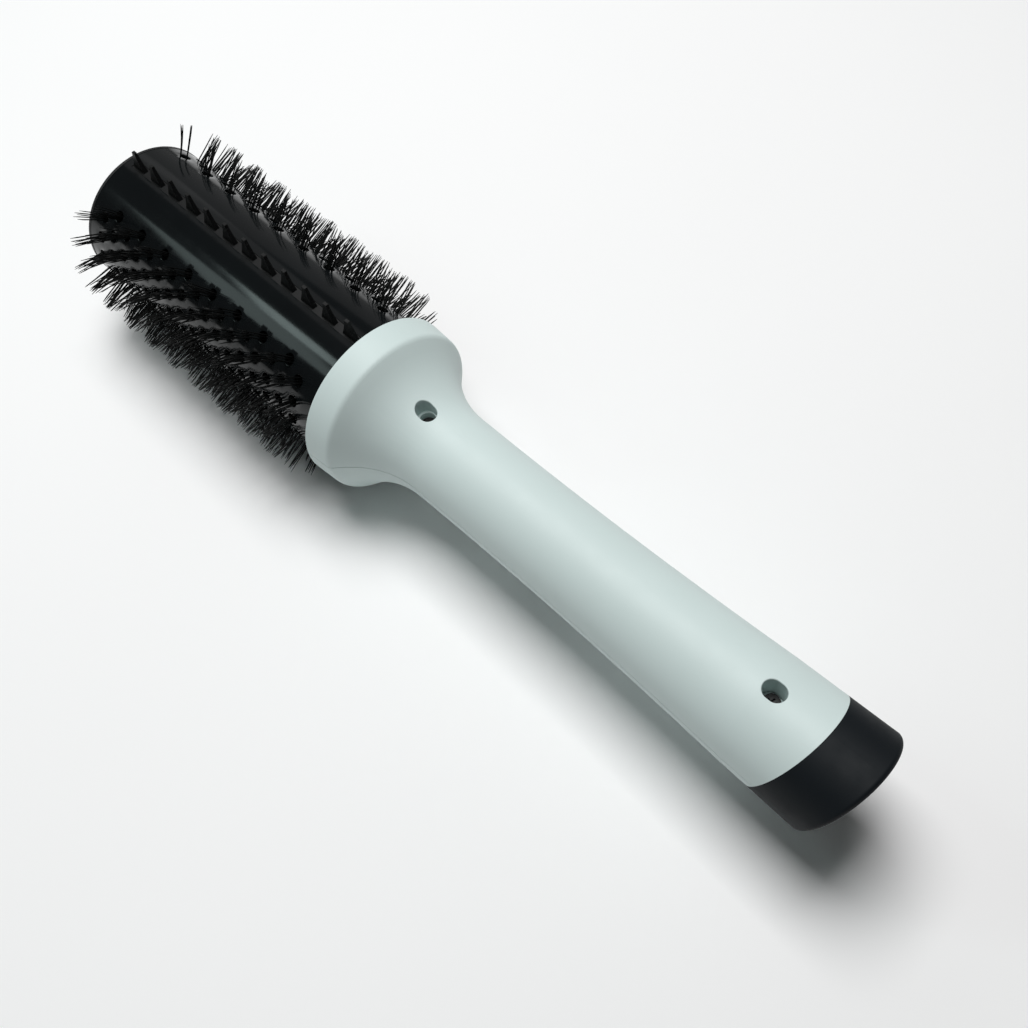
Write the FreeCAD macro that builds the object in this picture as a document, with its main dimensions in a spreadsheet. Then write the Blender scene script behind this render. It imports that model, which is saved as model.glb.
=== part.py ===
"""Hot air brush: a round barrel with bristle tufts on a two-shell handle with a slanted tail.

Units are millimetres.  The origin is on the brush's long axis, where the slanted tail face
crosses it.  +X runs from the tail to the tip and +Z points to the back of the brush, the side
with the two shell screws.  The controls are on the front, at -Z.
"""
import FreeCAD, Part
import math
import os
import re

import Sketcher

from FreeCAD import Placement, Rotation, Vector

doc = FreeCAD.newDocument("HotAirBrush")
sheet = doc.addObject("Spreadsheet::Sheet", "Sizes")

DIMENSIONS = [
    ("barrel_radius", 25.0, "outer radius of the barrel"),
    ("barrel_wall", 0.8, "sheet thickness of the barrel"),
    ("barrel_root", 171.2, "inner end of the barrel, inside the collar"),
    ("barrel_end", 299.7, "outer end of the barrel sheet"),
    ("tip_flange", 1.1, "thickness of the tip cap's rim"),
    ("tip_height", 9.2, "how far the tip cap stands past the barrel"),
    ("tip_wall", 1.6, "wall of the tip cap"),
    ("tuft_hole_radius", 1.9, "hole in the barrel round each tuft"),
    ("tuft_root_radius", 1.3, "radius of a tuft where it leaves its strip"),
    ("tuft_top_radius", 1.6, "radius of a tuft at its ragged end"),
    ("tuft_reach", 36.2, "distance of the tuft ends from the axis"),
    ("tuft_pitch", 12.87, "spacing of the tufts along a row"),
    ("tuft_first", 286.7, "outermost tuft of the rows that hold eight"),
    ("strip_low", 21.6, "underside of a tuft strip, from the axis"),
    ("strip_thick", 1.6, "thickness of a tuft strip"),
    ("strip_width", 2.2, "width of a tuft strip"),
    ("strip_start", 186.0, "inner end of the tuft strips"),
    ("strip_end", 296.4, "outer end of the tuft strips"),
    ("block_start", 40.0, "angle from the comb to the first tuft row"),
    ("block_span", 100.0, "angle that the tuft rows of one side cover"),
    ("comb_reach", 31.8, "distance of the comb teeth's ends from the axis"),
    ("comb_sink", 0.2, "how far a comb strip lies below the barrel's surface"),
    ("comb_thick", 1.6, "thickness of a comb strip"),
    ("comb_flange", 1.1, "how far the strip's flange reaches under the slot's edges"),
    ("comb_width", 3.0, "width of the comb strip in its slot"),
    ("comb_start", 182.2, "inner end of the comb strips"),
    ("comb_end", 296.7, "outer end of the comb strips"),
    ("tooth_pitch", 9.87, "spacing of the comb teeth"),
    ("tooth_first", 293.4, "outermost comb tooth"),
    ("tooth_root", 6.4, "length of a tooth at its root, along the barrel"),
    ("tooth_top", 1.5, "length of a tooth at its end"),
    ("tooth_thick", 1.8, "thickness of a tooth across the strip, at its root"),
    ("tooth_tip", 1.0, "thickness of a tooth at its end"),
    ("carrier_outer", 21.4, "outer radius of the tube that holds the strips"),
    ("carrier_inner", 20.4, "inner radius of that tube"),
    ("collar_front", 179.5, "front rim of the collar"),
    ("collar_radius", 28.4, "radius of the collar at its rim"),
    ("collar_bore", 25.3, "opening of the collar round the barrel"),
    ("collar_lip", 2.4, "depth of that opening"),
    ("collar_edge", 0.35, "rounding of the collar's front rim"),
    ("band_radius", 27.75, "radius of the collar band at its back edge"),
    ("band_length", 9.55, "length of the collar band"),
    ("band_edge", 2.5, "rounding between the band and the flare"),
    ("socket_bore", 25.9, "room in the collar for the barrel socket"),
    ("funnel_length", 12.4, "how far the socket's funnel reaches behind the barrel"),
    ("funnel_cone", 6.0, "length of the funnel's cone"),
    ("funnel_mouth", 14.6, "inner radius of the funnel's mouth"),
    ("funnel_throat", 18.8, "inner radius where the funnel's cone ends"),
    ("funnel_wall", 1.0, "wall of the funnel"),
    ("socket_body", 21.0, "outer radius of the socket behind its flange"),
    ("socket_flange", 1.0, "thickness of the socket's flange"),
    ("socket_reach", 9.6, "how far the socket reaches into the barrel"),
    ("flare_angle", 46.5, "slope of the flare between band and neck"),
    ("flare_foot", 24.21, "radius where the flare bends into the neck"),
    ("flare_bend", 30.0, "radius of that bend"),
    ("waist_radius", 14.66, "radius of the handle at its waist"),
    ("waist_place", 118.0, "place of the waist"),
    ("waist_curve", 1826.0, "radius of the handle's long curve"),
    ("grip_end", 28.7, "where the long curve ends"),
    ("tail_radius", 17.6, "radius of the handle at the origin"),
    ("handle_wall", 2.0, "wall of the handle shells"),
    ("seam_half", 0.1, "half width of the groove between the shells"),
    ("seam_depth", 0.25, "depth of that groove"),
    ("tail_slant", 23.3, "slant of the tail face in degrees"),
    ("cap_length", 16.5, "length of the tail cap along the axis"),
    ("cap_wall", 2.2, "wall of the tail cap"),
    ("cap_edge", 1.3, "rounding of the tail cap's end"),
    ("screw_front", 153.6, "screw near the collar"),
    ("screw_rear", 25.6, "screw near the tail cap"),
    ("sink_radius", 2.8, "half width of the oval recess over a screw"),
    ("sink_stretch", 0.58, "how far the recess's round ends lie from its middle"),
    ("sink_edge", 0.3, "rounding of the recess's rim"),
    ("sink_floor_front", 11.8, "height of the recess's ledge near the collar"),
    ("sink_floor_rear", 8.4, "height of the recess's ledge near the tail"),
    ("post_wall", 1.5, "wall of a screw post round its thread"),
    ("sleeve_wall", 1.2, "wall of the sleeve round a recess"),
    ("seat_thick", 1.6, "thickness of the plate under a screw head"),
    ("shaft_hole", 2.55, "radius of the deeper hole over the screw head"),
    ("head_seat", 7.8, "height of the screw head's seat"),
    ("screw_radius", 1.3, "radius of a screw's thread"),
    ("screw_head", 2.4, "radius of a screw's head"),
    ("screw_length", 13.0, "length of a screw below its head"),
    ("head_high", 1.8, "height of a screw's head"),
    ("cross_wide", 0.6, "width of the cross recess in a screw's head"),
    ("cross_long", 2.6, "length of the cross recess"),
    ("gland_bore", 5.6, "hole in the tail cap round the swivel gland"),
    ("gland_neck", 5.3, "radius of the swivel gland's neck"),
    ("gland_collar", 6.7, "radius of the swivel gland's outer collar"),
    ("gland_out", 0.6, "how far the gland stands behind the origin"),
    ("gland_seat", 4.2, "depth of the gland's seat from the origin"),
    ("gland_well", 7.1, "radius of the well round the gland's collar"),
    ("gland_in", 11.4, "inner end of the gland"),
    ("cord_bore", 3.6, "bore of the gland"),
    ("boss_radius", 8.4, "boss round the gland"),
    ("boss_end", 9.0, "inner end of that boss"),
    ("fan_radius", 12.1, "radius of the impeller"),
    ("fan_start", 38.0, "tail side of the impeller"),
    ("fan_length", 9.0, "length of the impeller"),
    ("hub_radius", 4.2, "radius of the impeller's hub"),
    ("blade_thick", 0.9, "thickness of an impeller blade"),
    ("blade_pitch", 38.0, "pitch of an impeller blade in degrees"),
    ("holder_outer", 13.2, "outer radius of the motor holder"),
    ("holder_wall", 0.7, "wall of the motor holder"),
    ("holder_length", 34.0, "length of the motor holder"),
    ("holder_seat", 18.0, "length of the ring that grips the motor"),
    ("motor_radius", 10.2, "radius of the motor can"),
    ("motor_start", 52.0, "tail side of the motor can"),
    ("motor_length", 26.0, "length of the motor can"),
    ("motor_wall", 0.8, "wall of the motor can"),
    ("motor_shaft_radius", 1.0, "radius of the motor shaft"),
    ("magnet_bore", 7.3, "bore between the motor's magnets"),
    ("magnet_length", 18.0, "length of the magnets"),
    ("rotor_radius", 6.6, "radius of the rotor"),
    ("rotor_length", 15.0, "length of the rotor"),
    ("rotor_slot", 1.5, "radius of a winding slot in the rotor"),
    ("disc_radius", 9.4, "radius of the rectifier board"),
    ("disc_thick", 1.2, "thickness of the rectifier board"),
    ("disc_gap", 3.6, "gap between the motor and the rectifier board"),
    ("diode_radius", 0.9, "radius of a diode"),
    ("diode_length", 4.0, "length of a diode"),
    ("board_top", -5.0, "upper face of the control board"),
    ("board_thick", 1.6, "thickness of the control board"),
    ("board_width", 18.0, "width of the control board"),
    ("board_start", 86.0, "tail end of the control board"),
    ("board_length", 52.0, "length of the control board"),
    ("terminal_length", 8.0, "length of the terminal block"),
    ("terminal_width", 12.0, "width of the terminal block"),
    ("terminal_height", 6.0, "height of the terminal block"),
    ("terminal_well", 1.6, "radius of a screw well in the terminal block"),
    ("switch_length", 18.0, "length of the switch's housing"),
    ("switch_width", 7.0, "width of the switch's housing"),
    ("switch_height", 3.35, "height of the switch's housing"),
    ("knob_place", 104.0, "middle of the switch's travel"),
    ("knob_length", 15.0, "length of the switch knob"),
    ("knob_width", 8.4, "width of the switch knob"),
    ("knob_travel", 3.5, "travel of the knob each way"),
    ("rib_pitch", 2.0, "spacing of the knob's ribs"),
    ("rib_width", 0.8, "width of one of the knob's ribs"),
    ("stem_length", 5.0, "length of the knob's stem"),
    ("stem_width", 2.2, "width of the knob's stem"),
    ("recess_floor", 13.1, "depth of the flat under the knob, from the axis"),
    ("recess_corner", 1.2, "rounding of that flat's corners"),
    ("button_place", 128.5, "place of the cool-shot button"),
    ("button_radius", 4.2, "radius of the cool-shot button"),
    ("button_top", 15.6, "distance of the button's face from the axis"),
    ("button_travel", 1.0, "travel of the cool-shot button"),
    ("flange_low", 11.1, "distance of the button's flange from the axis"),
    ("flange_thick", 1.0, "thickness of the button's flange"),
    ("plunger_radius", 1.6, "radius of the cool-shot switch's plunger"),
    ("mica_half", 15.4, "half width of the heater's mica plates"),
    ("mica_thick", 0.5, "thickness of the mica plates"),
    ("mica_start", 186.0, "handle end of the mica plates"),
    ("mica_length", 62.0, "length of the mica plates"),
    ("fuse_radius", 1.2, "radius of the thermal fuse"),
    ("wrap_gap", 2.1, "gap between the heater wire and the mica sleeve"),
    ("wrap_length", 58.0, "length of the mica sleeve"),
    ("coil_radius", 16.4, "distance of the heater wire's corners from the axis"),
    ("coil_wire", 0.4, "radius of the heater wire"),
    ("coil_pitch", 5.0, "spacing of the heater wire's turns"),
    ("lead_radius", 0.7, "radius of an insulated lead"),
]
for row, (alias, number, note) in enumerate(DIMENSIONS, start=1):
    sheet.set("A%d" % row, note)
    sheet.set("B%d" % row, "%g" % number)
    sheet.setAlias("B%d" % row, alias)
doc.recompute()

ALIASES = [entry[0] for entry in DIMENSIONS]
FORMULA_NAME = re.compile("[a-z][a-z_]*[a-z]")
ALONG_X = Rotation(Vector(0, 1, 0), 90)
TEETH = 12
TOOTH_SECTIONS = 6
TOOTH_SWEEP = 1.4
ROWS = 13
BLADES = 7
COIL_TURNS = 9
INLET_RINGS = ((10.4, 18), (13.2, 22))
SCREEN_RINGS = ((9.6, 34), (11.2, 40), (12.8, 46))
SIDES = {"left": 1, "right": -1}
DIODE_PLACES = (("5", "3"), ("-5", "3"), ("2", "6.5"), ("-2", "6.5"))
VANES = 5
ROTOR_SLOTS = 3
KNOB_RIBS = 6
nodes = {}


def size(alias):
    """The number that a cell of the sheet holds."""
    return float(sheet.get(alias))


def formula(text):
    """A formula over the sheet's aliases, as FreeCAD reads it."""
    def cell(match):
        word = match.group(0)
        return "Sizes." + word if word in ALIASES else word
    return FORMULA_NAME.sub(cell, str(text))


def bind(thing, **properties):
    """Tie an object's properties to formulas over the sheet."""
    for name, text in properties.items():
        thing.setExpression(name, formula(text))


def place(thing, x="0", y="0", z="0", rotation=None):
    """Give an object a placement whose base follows the sheet."""
    thing.Placement = Placement(Vector(0, 0, 0), rotation or Rotation())
    for axis, text in (("x", x), ("y", y), ("z", z)):
        thing.setExpression("Placement.Base." + axis, formula(text))


def rod(name, radius, start, length, y="0", z="0"):
    """A cylinder along X."""
    thing = doc.addObject("Part::Cylinder", name)
    bind(thing, Radius=radius, Height=length)
    place(thing, start, y, z, ALONG_X)
    return thing


def post(name, radius, x, low, height, y="0"):
    """A cylinder along Z."""
    thing = doc.addObject("Part::Cylinder", name)
    bind(thing, Radius=radius, Height=height)
    place(thing, x, y, low)
    return thing


def block(name, start, length, width, low, height, y="0"):
    """A box from start along +X, centred on y, from low upwards."""
    thing = doc.addObject("Part::Box", name)
    bind(thing, Length=length, Width=width, Height=height)
    place(thing, start, "%s - (%s) / 2" % (y, width), low)
    return thing


def cut(name, base, tool):
    """The base without the tool."""
    thing = doc.addObject("Part::Cut", name)
    thing.Base = base
    thing.Tool = tool
    return thing


def fuse(name, parts):
    """Several objects as one."""
    thing = doc.addObject("Part::MultiFuse", name)
    thing.Shapes = parts
    return thing


def group(name, parts):
    """Several separate solids in one object."""
    thing = doc.addObject("Part::Compound", name)
    thing.Links = parts
    return thing


def feature(name, shape):
    """An object whose shape comes from Part's own functions."""
    thing = doc.addObject("Part::Feature", name)
    thing.Shape = shape
    thing.Placement = shape.Placement
    return thing


def keep(label, thing):
    """Name an object as one of the brush's sub-parts."""
    thing.Label = label
    nodes[label] = thing
    return thing


def plane_of(body, role):
    """One of a body's own origin planes."""
    return next(item for item in body.Origin.OriginFeatures if item.Role == role)


def turned(name, corners):
    """A body turned about the long axis from a closed outline of (x, radius) formulas."""
    body = doc.addObject("PartDesign::Body", name)
    sketch = body.newObject("Sketcher::SketchObject", name + "_outline")
    sketch.AttachmentSupport = [(plane_of(body, "XZ_Plane"), "")]
    sketch.MapMode = "FlatFace"
    count = len(corners)
    turn = 2 * math.pi / count
    guide = [Vector(90 + 60 * math.cos(i * turn), 90 + 60 * math.sin(i * turn), 0) for i in range(count)]
    for i in range(count):
        sketch.addGeometry(Part.LineSegment(guide[i], guide[(i + 1) % count]), False)
    for i in range(count):
        sketch.addConstraint(Sketcher.Constraint("Coincident", i, 2, (i + 1) % count, 1))
    for i, (x, radius) in enumerate(corners):
        for kind, text, axis in (("DistanceX", x, -2), ("DistanceY", radius, -1)):
            if text == "0":
                sketch.addConstraint(Sketcher.Constraint("PointOnObject", i, 1, axis))
                continue
            index = sketch.addConstraint(Sketcher.Constraint(kind, -1, 1, i, 1, 50.0))
            sketch.setExpression("Constraints[%d]" % index, formula(text))
    doc.recompute()
    turning = body.newObject("PartDesign::Revolution", name + "_turned")
    turning.Profile = sketch
    turning.ReferenceAxis = (sketch, ["H_Axis"])
    turning.Angle = 360.0
    body.Tip = turning
    return body


def spun(points, start=0, sweep=360):
    """A solid turned about X from a closed wire of edges in the XZ plane, from the start angle on."""
    face = Part.Face(Part.Wire(points))
    face = face.transformed(Placement(Vector(0, 0, 0), Rotation(Vector(1, 0, 0), start)).toMatrix(), True)
    return face.revolve(Vector(0, 0, 0), Vector(1, 0, 0), sweep)


def line(a, b):
    """A straight edge between two (x, radius) points."""
    return Part.makeLine(Vector(a[0], 0, a[1]), Vector(b[0], 0, b[1]))


def arc(a, middle, b):
    """An arc through three (x, radius) points."""
    ends = [Vector(p[0], 0, p[1]) for p in (a, middle, b)]
    return Part.Arc(*ends).toShape()


def smooth(points):
    """A smooth edge through (x, radius) points."""
    curve = Part.BSplineCurve()
    curve.interpolate([Vector(x, 0, radius) for x, radius in points])
    return curve.toShape()


def long_curve(x):
    """Radius of the handle's long curve at x."""
    return size("waist_radius") + (x - size("waist_place")) ** 2 / (2 * size("waist_curve"))


def handle_edges(inset):
    """The handle's outline from behind the tail to the collar, moved inwards by inset."""
    grip = size("grip_end")
    slope = (size("tail_radius") - long_curve(grip)) / grip
    behind = (-12.0, size("tail_radius") + 12.0 * slope - inset)
    start = (grip, long_curve(grip) - inset)
    bend = size("flare_bend")
    angle = math.radians(size("flare_angle"))
    foot_r = size("flare_foot")
    band_back = size("collar_front") - size("band_length")
    foot_x = band_back - (size("band_radius") - foot_r) / math.tan(angle)
    neck_x = foot_x - bend * math.sin(angle)
    neck_r = foot_r - bend * (1 - math.cos(angle))
    half = angle / 2
    neck = (neck_x, neck_r - inset)
    inner_foot = (foot_x, foot_r - inset)
    bend_middle = (neck_x + bend * math.sin(half), neck_r + bend * (1 - math.cos(half)) - inset)
    grip_places = [grip + f * (neck_x - grip) / 4 for f in range(4)]
    top = (band_back, size("band_radius") - inset)
    edges = [
        line(behind, start),
        smooth([(x, long_curve(x) - inset) for x in grip_places] + [neck]),
        arc(neck, bend_middle, inner_foot),
        line(inner_foot, top),
    ]
    return edges, behind, top


def slanted_space(offset):
    """The half space on the tip side of the slanted plane that crosses the axis at offset."""
    box = Part.makeBox(500, 120, 600, Vector(0, -60, -300))
    box.Placement = Placement(Vector(offset, 0, 0), Rotation(Vector(0, 1, 0), -size("tail_slant")))
    return box


def handle_solid(inset=0.0, start=0, sweep=360):
    """The handle's form from behind the tail to the collar's rim, moved inwards by inset."""
    edges, behind, top = handle_edges(inset)
    rim = (size("collar_front"), size("collar_radius") - inset)
    edges += [
        line(top, rim),
        line(rim, (rim[0], 0)),
        line((rim[0], 0), (behind[0], 0)),
        line((behind[0], 0), behind),
    ]
    return spun(edges, start, sweep)


def along(radius, start, end):
    """A plain cylinder along X between two places."""
    return Part.makeCylinder(radius, end - start, Vector(start, 0, 0), Vector(1, 0, 0))


def handle_cavity():
    """The room inside the handle shells, with the socket's seat and the barrel's opening."""
    front = size("collar_front")
    seat_start = front - size("band_length")
    lip = front - size("collar_lip")
    room = handle_solid(size("handle_wall")).common(along(40, -20, seat_start))
    return room.fuse([
        along(size("socket_bore"), seat_start, lip),
        along(size("collar_bore"), lip, front + 1),
    ])


def seam_groove():
    """The fine groove that shows where the two shells meet."""
    half = size("seam_half")
    slab = Part.makeBox(240, 80, 2 * half, Vector(-20, -40, -half))
    return slab.common(handle_solid()).cut(handle_solid(size("seam_depth")))


def pillar(radius, x, low, high):
    """A plain cylinder along Z between two heights."""
    return Part.makeCylinder(radius, high - low, Vector(x, 0, low))


def oval(radius, x, low, high):
    """A cylinder along Z that is drawn out along X, like the recess over a screw."""
    half = size("sink_stretch")
    middle = Part.makeBox(2 * half, 2 * radius, high - low, Vector(x - half, -radius, low))
    return middle.fuse([pillar(radius, x - half, low, high), pillar(radius, x + half, low, high)])


def points_on(edge):
    """A few points along an edge, both ends among them."""
    span = edge.LastParameter - edge.FirstParameter
    return [edge.valueAt(edge.FirstParameter + f * span) for f in (0.0, 0.3, 0.6, 1.0)]


def rounded_edges(solid, chosen, radius):
    """The solid with a fillet on the edges that the test chooses."""
    picked = [edge for edge in solid.Edges if chosen(edge)]
    return solid.makeFillet(radius, picked)


def half_blank(start):
    """Half of the handle's outer form, cut off at the tail cap, with soft edges on the collar."""
    solid = handle_solid(0.0, start, 180)
    rim = size("collar_front")
    for place_x, radius in ((rim, "collar_edge"), (rim - size("band_length"), "band_edge")):
        def on_ring(edge):
            box = edge.BoundBox
            return box.XLength < 0.01 and box.YLength > 50 and abs(box.XMin - place_x) < 0.01
        solid = rounded_edges(solid, on_ring, size(radius))
    return solid.common(slanted_space(size("cap_length")))


def shell_pair():
    """The back and the front shell of the handle, with their screw posts and openings."""
    cavity = handle_cavity()
    groove = seam_groove()
    post_top = 1.0
    post_gap = 0.1
    post_radius = size("screw_radius") + size("post_wall")
    sink = size("sink_radius")
    stretch = size("sink_stretch")
    seat = size("head_seat")
    back = half_blank(-90).cut([cavity, groove])
    front = half_blank(90).cut([cavity, groove])
    behind_cap = cavity.common(slanted_space(size("cap_length") + 4.0))
    for x, ledge in (
        (size("screw_front"), size("sink_floor_front")),
        (size("screw_rear"), size("sink_floor_rear")),
    ):
        sleeve = oval(sink + size("sleeve_wall"), x, seat - size("seat_thick"), 20).common(cavity)
        stem = pillar(post_radius, x, post_top, seat).common(cavity)
        back = back.fuse([sleeve, stem])
        back = back.cut(oval(sink, x, ledge, 30).removeSplitter())
        back = back.cut(pillar(size("shaft_hole"), x, seat, 30))
        back = back.cut(pillar(size("screw_radius") + 0.15, x, 0, 30))
        lower = pillar(post_radius, x, -20, post_top - post_gap).common(behind_cap)
        front = front.fuse(lower)
        thread_end = seat - size("screw_length") - 0.6
        front = front.cut(pillar(size("screw_radius") + 0.03, x, thread_end, 20))
    front = front.cut(knob_recess())
    front = front.cut(pillar(size("button_radius") + 0.35, size("button_place"), -30, -8))

    def on_wall(point, x):
        past_middle = max(abs(point.x - x) - stretch, 0.0)
        return point.z > 14 and abs(math.hypot(past_middle, point.y) - sink) < 0.01

    def on_sink_rim(edge):
        screws = (size("screw_front"), size("screw_rear"))
        return any(all(on_wall(point, x) for point in points_on(edge)) for x in screws)

    back = rounded_edges(back.removeSplitter(), on_sink_rim, size("sink_edge"))
    return back, front.removeSplitter()


def knob_recess():
    """The flat under the switch knob and the slot that its stem slides in."""
    length = size("knob_length") + 2 * size("knob_travel") + 1.4
    width = size("knob_width") + 0.9
    floor = size("recess_floor")
    middle = size("knob_place")
    flat = Part.makeBox(length, width, 10, Vector(middle - length / 2, -width / 2, -floor - 10))
    upright = [edge for edge in flat.Edges if edge.BoundBox.ZLength > 9]
    flat = flat.makeFillet(size("recess_corner"), upright)
    slot_length = size("stem_length") + 2 * size("knob_travel") + 0.8
    slot_width = size("stem_width") + 1.2
    corner = Vector(middle - slot_length / 2, -slot_width / 2, -floor - 10)
    slot = Part.makeBox(slot_length, slot_width, 20, corner)
    return flat.fuse(slot)


def turn_x(shape, angle):
    """A copy of the shape turned about the long axis, +Z towards +Y."""
    copy = shape.copy()
    copy.rotate(Vector(0, 0, 0), Vector(1, 0, 0), -angle)
    return copy


def row_angles(side):
    """The angles of one side's tuft rows, from +Z."""
    step = size("block_span") / (ROWS - 1)
    return [side * (size("block_start") + i * step) for i in range(ROWS)]


def row_places(index, side):
    """Where the tufts of a row stand along the barrel: eight and nine by turns, nine first on the right."""
    pitch = size("tuft_pitch")
    if (index % 2 == 0) == (side > 0):
        return [size("tuft_first") - i * pitch for i in range(8)]
    return [size("tuft_first") + pitch / 2 - i * pitch for i in range(9)]


def tuft_holes():
    """A drill through the barrel's sheet for each tuft."""
    drills = []
    inside = size("barrel_radius") - 4
    for side in SIDES.values():
        for index, angle in enumerate(row_angles(side)):
            for x in row_places(index, side):
                drill = pillar(size("tuft_hole_radius"), x, inside, inside + 6)
                drills.append(turn_x(drill, angle))
    return Part.makeCompound(drills)


def tuft_strip(angle, places):
    """One flat strip with its row of tufts, as one solid."""
    low = size("strip_low")
    length = size("strip_end") - size("strip_start")
    width = size("strip_width")
    corner = Vector(size("strip_start"), -width / 2, low)
    strip = Part.makeBox(length, width, size("strip_thick"), corner)
    root = low + 0.6
    rise = size("tuft_reach") - root
    tufts = [
        Part.makeCone(size("tuft_root_radius"), size("tuft_top_radius"), rise, Vector(x, 0, root))
        for x in places
    ]
    return turn_x(strip.fuse(tufts).removeSplitter(), angle)


def comb_slots():
    """The slots for the comb strips, at the back and the front of the barrel."""
    gap = 0.1
    length = size("comb_end") - size("comb_start") + 2 * gap
    width = size("comb_width") + 2 * gap
    corner = Vector(size("comb_start") - gap, -width / 2, size("barrel_radius") - 4)
    slot = Part.makeBox(length, width, 6, corner)
    return Part.makeCompound([slot, turn_x(slot, 180)])


def comb_tooth(x):
    """A fin whose edges sweep out into the strip at its root, with a blunt top."""
    low = size("barrel_radius") - size("comb_sink") - 0.5
    rise = size("comb_reach") - low
    sections = []
    for i in range(TOOTH_SECTIONS + 1):
        f = i / TOOTH_SECTIONS
        sweep = (1 - f) ** TOOTH_SWEEP
        half = (size("tooth_top") + (size("tooth_root") - size("tooth_top")) * sweep) / 2
        thick = (size("tooth_thick") + (size("tooth_tip") - size("tooth_thick")) * f) / 2
        corners = ((-half, -thick), (half, -thick), (half, thick), (-half, thick), (-half, -thick))
        sections.append(Part.makePolygon([Vector(x + a, b, low + rise * f) for a, b in corners]))
    return Part.makeLoft(sections, True, True)


def comb_strip(angle):
    """A T-section strip with its row of teeth."""
    start = size("comb_start")
    length = size("comb_end") - start
    width = size("comb_width")
    flange = size("comb_flange")
    thick = size("comb_thick")
    surface = size("barrel_radius") - size("comb_sink")
    web = Part.makeBox(length, width, thick, Vector(start, -width / 2, surface - thick))
    corner = Vector(start, -width / 2 - flange, surface - thick - 0.4)
    foot = Part.makeBox(length, width + 2 * flange, 1.0, corner)
    places = [size("tooth_first") - i * size("tooth_pitch") for i in range(TEETH)]
    strip = web.fuse([foot] + [comb_tooth(x) for x in places])
    return turn_x(strip.removeSplitter(), angle)


def carrier_slots():
    """The long air slots of the carrier, between the tuft strips and under the combs."""
    length = size("strip_end") - size("strip_start") - 8
    slot = Part.makeBox(length, 1.3, 4, Vector(size("strip_start") + 4, -0.65, size("carrier_inner") - 1))
    wide = Part.makeBox(length, 4.0, 4, Vector(size("strip_start") + 4, -2.0, size("carrier_inner") - 1))
    cuts = [wide, turn_x(wide, 180)]
    for side in SIDES.values():
        angles = row_angles(side)
        cuts += [turn_x(slot, (a + b) / 2) for a, b in zip(angles, angles[1:])]
    return Part.makeCompound(cuts)


def impeller_solid():
    """An axial impeller: a hub and seven pitched blades."""
    start = size("fan_start")
    length = size("fan_length")
    thick = size("blade_thick")
    long = length * 1.4
    hub = along(size("hub_radius"), start, start + length)
    rim = along(size("fan_radius"), start + 0.4, start + length - 0.4)
    middle = Vector(start + length / 2, 0, 0)
    blades = []
    for i in range(BLADES):
        blade = Part.makeBox(long, thick, size("fan_radius") + 2, Vector(-long / 2, -thick / 2, 2.0))
        blade.rotate(Vector(0, 0, 0), Vector(0, 0, 1), size("blade_pitch"))
        blade.translate(middle)
        blade.rotate(middle, Vector(1, 0, 0), i * 360.0 / BLADES)
        blades.append(blade.common(rim))
    solid = hub.fuse(blades).removeSplitter()
    return solid.cut(along(size("motor_shaft_radius") + 0.02, start - 1, start + length + 1))


def bent_wire(points, bends, radius):
    """A round wire of straight runs joined by tangent arcs, one bend radius for each corner."""
    edges = []
    start = points[0]
    for corner, after, bend in zip(points[1:-1], points[2:], bends):
        into = (corner - start).normalize()
        out = (after - corner).normalize()
        half = math.acos(max(-1.0, min(1.0, into.dot(out)))) / 2
        reach = bend * math.tan(half)
        a = corner - into * reach
        b = corner + out * reach
        inward = (out - into).normalize()
        centre = corner + inward * (bend / math.cos(half))
        edges.append(Part.makeLine(start, a))
        edges.append(Part.Arc(a, centre - inward * bend, b).toShape())
        start = b
    edges.append(Part.makeLine(start, points[-1]))
    path = Part.Wire(edges)
    first = (points[1] - points[0]).normalize()
    ring = Part.Wire([Part.makeCircle(radius, points[0], first)])
    return path.makePipeShell([ring], True, False)


def heater_coil():
    """The heater wire, wound square over the edges of the mica cross."""
    reach = size("coil_radius")
    quarter = size("coil_pitch") / 4
    start = size("mica_start") + 5
    spokes = (Vector(0, 1, 0), Vector(0, 0, 1), Vector(0, -1, 0), Vector(0, 0, -1))
    corners = [Vector(start + i * quarter, 0, 0) + spokes[i % 4] * reach for i in range(COIL_TURNS * 4 + 1)]
    return bent_wire(corners, [1.2] * (len(corners) - 2), size("coil_wire"))


def screw_solid(x):
    """A pan-head screw along Z with a cross recess in its head."""
    seat = size("head_seat")
    head = pillar(size("screw_head"), x, seat, seat + size("head_high"))
    shank = pillar(size("screw_radius"), x, seat - size("screw_length"), seat)
    solid = head.fuse(shank)
    wide = size("cross_wide")
    long = size("cross_long")
    for reach_x, reach_y in ((long, wide), (wide, long)):
        corner = Vector(x - reach_x / 2, -reach_y / 2, seat + 0.8)
        solid = solid.cut(Part.makeBox(reach_x, reach_y, size("head_high"), corner))
    return solid


def ring_drills(rings, radius, start, end):
    """Round drills along X, set out on rings of (radius, number)."""
    drills = []
    for ring, count in rings:
        for i in range(count):
            angle = 2 * math.pi * i / count
            drill = along(radius, start, end)
            drill.translate(Vector(0, ring * math.sin(angle), ring * math.cos(angle)))
            drills.append(drill)
    return Part.makeCompound(drills)


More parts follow.
